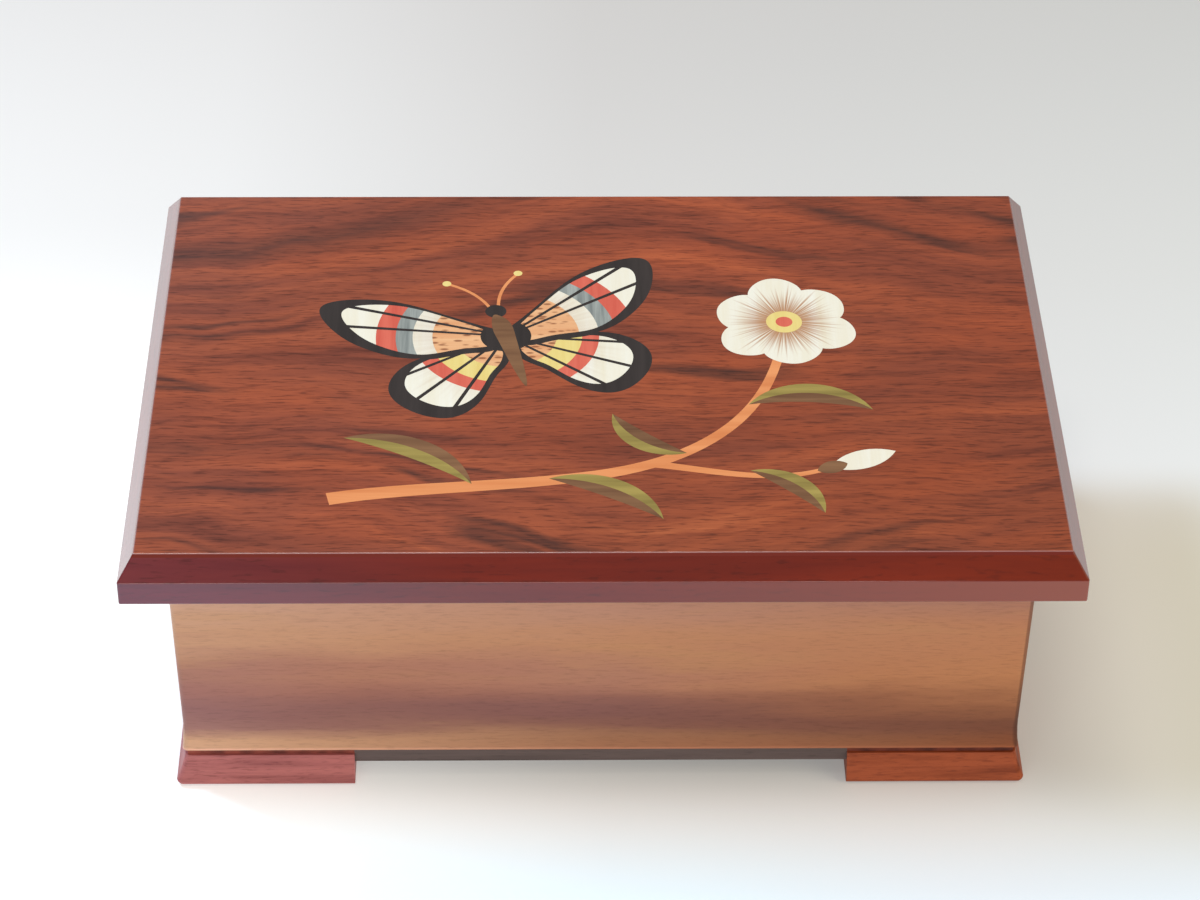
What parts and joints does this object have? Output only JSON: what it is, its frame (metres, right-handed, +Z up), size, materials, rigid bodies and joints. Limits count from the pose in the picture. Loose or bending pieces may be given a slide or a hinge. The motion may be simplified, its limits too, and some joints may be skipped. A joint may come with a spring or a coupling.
{
  "type": "wind-up music box",
  "caption": "Rectangular wooden music box with a hinged bevelled lid, floral and butterfly wood inlay, bracket feet, lined tray and clockwork comb movement wound from below",
  "frame": {"origin": "on the table, under the centre of the lid's outline, which is the whole object's outline seen from above", "axes": "+X to the right along the long front, +Y from the front to the hinged back, +Z up"},
  "size_m": [0.16, 0.1084, 0.0565],
  "materials": {
    "wall_veneer": "satin lacquer over tan-brown veneer with horizontal grain",
    "foot_mahogany": "satin lacquer over reddish mahogany",
    "dark_board": "dark stain, matt",
    "edging_mahogany": "high gloss lacquer over dark red mahogany",
    "lid_rosewood": "high gloss lacquer over streaked rosewood veneer",
    "core_board": "plain board, unfinished",
    "divider_wood": "satin lacquer",
    "velvet": "dark red velvet over card",
    "clear_plastic": "clear acrylic sheet, polished",
    "brass": "polished brass",
    "movement_casting": "bright zinc casting",
    "steel": "bright steel",
    "spring_steel": "blued spring steel",
    "white_plastic": "moulded plastic",
    "inlay_ivory": "gloss lacquer over sand-shaded ivory-coloured wood",
    "inlay_black": "gloss lacquer over black-dyed wood",
    "inlay_yellow": "gloss lacquer over pale yellow wood",
    "inlay_burl": "gloss lacquer over speckled peach-brown burl",
    "inlay_coral": "gloss lacquer over coral-dyed wood",
    "inlay_grey": "gloss lacquer over grey-dyed wood with fine streaks",
    "inlay_olive": "gloss lacquer over olive-brown wood",
    "inlay_brown": "gloss lacquer over dark brown wood",
    "inlay_tan": "gloss lacquer over orange-tan wood"
  },
  "bodies": {
    "case": {"front_wall": "wall_veneer", "back_wall": "wall_veneer", "left_wall": "wall_veneer", "right_wall": "wall_veneer", "bottom_board": "dark_board", "foot_front_left": "foot_mahogany", "foot_front_right": "foot_mahogany", "foot_back_left": "foot_mahogany", "foot_back_right": "foot_mahogany", "partition": "divider_wood", "pane_cleats": "divider_wood", "clear_pane": "clear_plastic", "tray_liners": "velvet", "tray_pad": "velvet", "hinge_lower_leaves": "brass", "hinge_pins": "brass", "case_screws": "brass", "bedplate": "movement_casting", "barrel_bridge": "movement_casting", "governor_frame": "movement_casting", "comb": "steel", "movement_screws": "steel", "mount_screws": "steel", "stop_guide": "steel", "stop_spring": "spring_steel"},
    "lid": {"lid_core": "core_board", "lid_edging_front": "edging_mahogany", "lid_edging_back": "edging_mahogany", "lid_edging_left": "edging_mahogany", "lid_edging_right": "edging_mahogany", "lid_veneer": "lid_rosewood", "lid_lining": "velvet", "hinge_upper_leaves": "brass", "lid_screws": "brass", "inlay_ivory": "inlay_ivory", "inlay_black": "inlay_black", "inlay_yellow": "inlay_yellow", "inlay_burl": "inlay_burl", "inlay_coral": "inlay_coral", "inlay_grey": "inlay_grey", "inlay_olive": "inlay_olive", "inlay_brown": "inlay_brown", "inlay_tan": "inlay_tan"},
    "key": {"winding_key": "brass", "winding_arbor": "steel"},
    "barrel": {"spring_barrel": "brass", "crown_cover": "brass", "mainspring": "spring_steel"},
    "cylinder": {"pinned_cylinder": "brass", "tune_pins": "steel", "cylinder_axle": "steel", "drive_pinion": "steel", "cylinder_wheel": "brass"},
    "governor": {"governor_wheel": "brass"},
    "fan": {"governor_worm": "steel", "governor_fan": "white_plastic"},
    "stop": {"stop_rod": "steel"}
  },
  "joints": [
    {"name": "lid_hinge", "type": "hinge", "parent": "case", "child": "lid", "pos_m": [0, 0.04815, 0.0478], "axis": [-1, 0, 0], "range_deg": [0, 104]},
    {"name": "stop_lift", "type": "slide", "parent": "case", "child": "stop", "axis": [0, 0, 1], "range_m": [0, 0.0026], "deforming": ["stop_spring"]},
    {"name": "key_wind", "type": "hinge", "parent": "case", "child": "key", "pos_m": [-0.0506, 0.00595, 0.0009], "axis": [0, 0, 1], "range_deg": [0, 1710]},
    {"name": "cylinder_spin", "type": "hinge", "parent": "case", "child": "cylinder", "pos_m": [-0.0358, 0.00595, 0.02075], "axis": [1, 0, 0], "continuous": true},
    {"name": "barrel_spin", "type": "hinge", "parent": "case", "child": "barrel", "pos_m": [-0.0506, 0.00595, 0.011], "axis": [0, 0, 1], "continuous": true},
    {"name": "governor_spin", "type": "hinge", "parent": "case", "child": "governor", "pos_m": [-0.0163, 0.01406, 0.01858], "axis": [1, 0, 0], "continuous": true},
    {"name": "fan_spin", "type": "hinge", "parent": "case", "child": "fan", "pos_m": [-0.0126, 0.01976, 0.01858], "axis": [0, 0, 1], "continuous": true}
  ],
  "couplings": [
    {"joint": "stop_lift", "follows": "lid_hinge", "m_per_rad": 0.0013773},
    {"joint": "barrel_spin", "follows": "cylinder_spin", "ratio": 0.2},
    {"joint": "governor_spin", "follows": "cylinder_spin", "ratio": -3},
    {"joint": "fan_spin", "follows": "cylinder_spin", "ratio": 72}
  ]
}
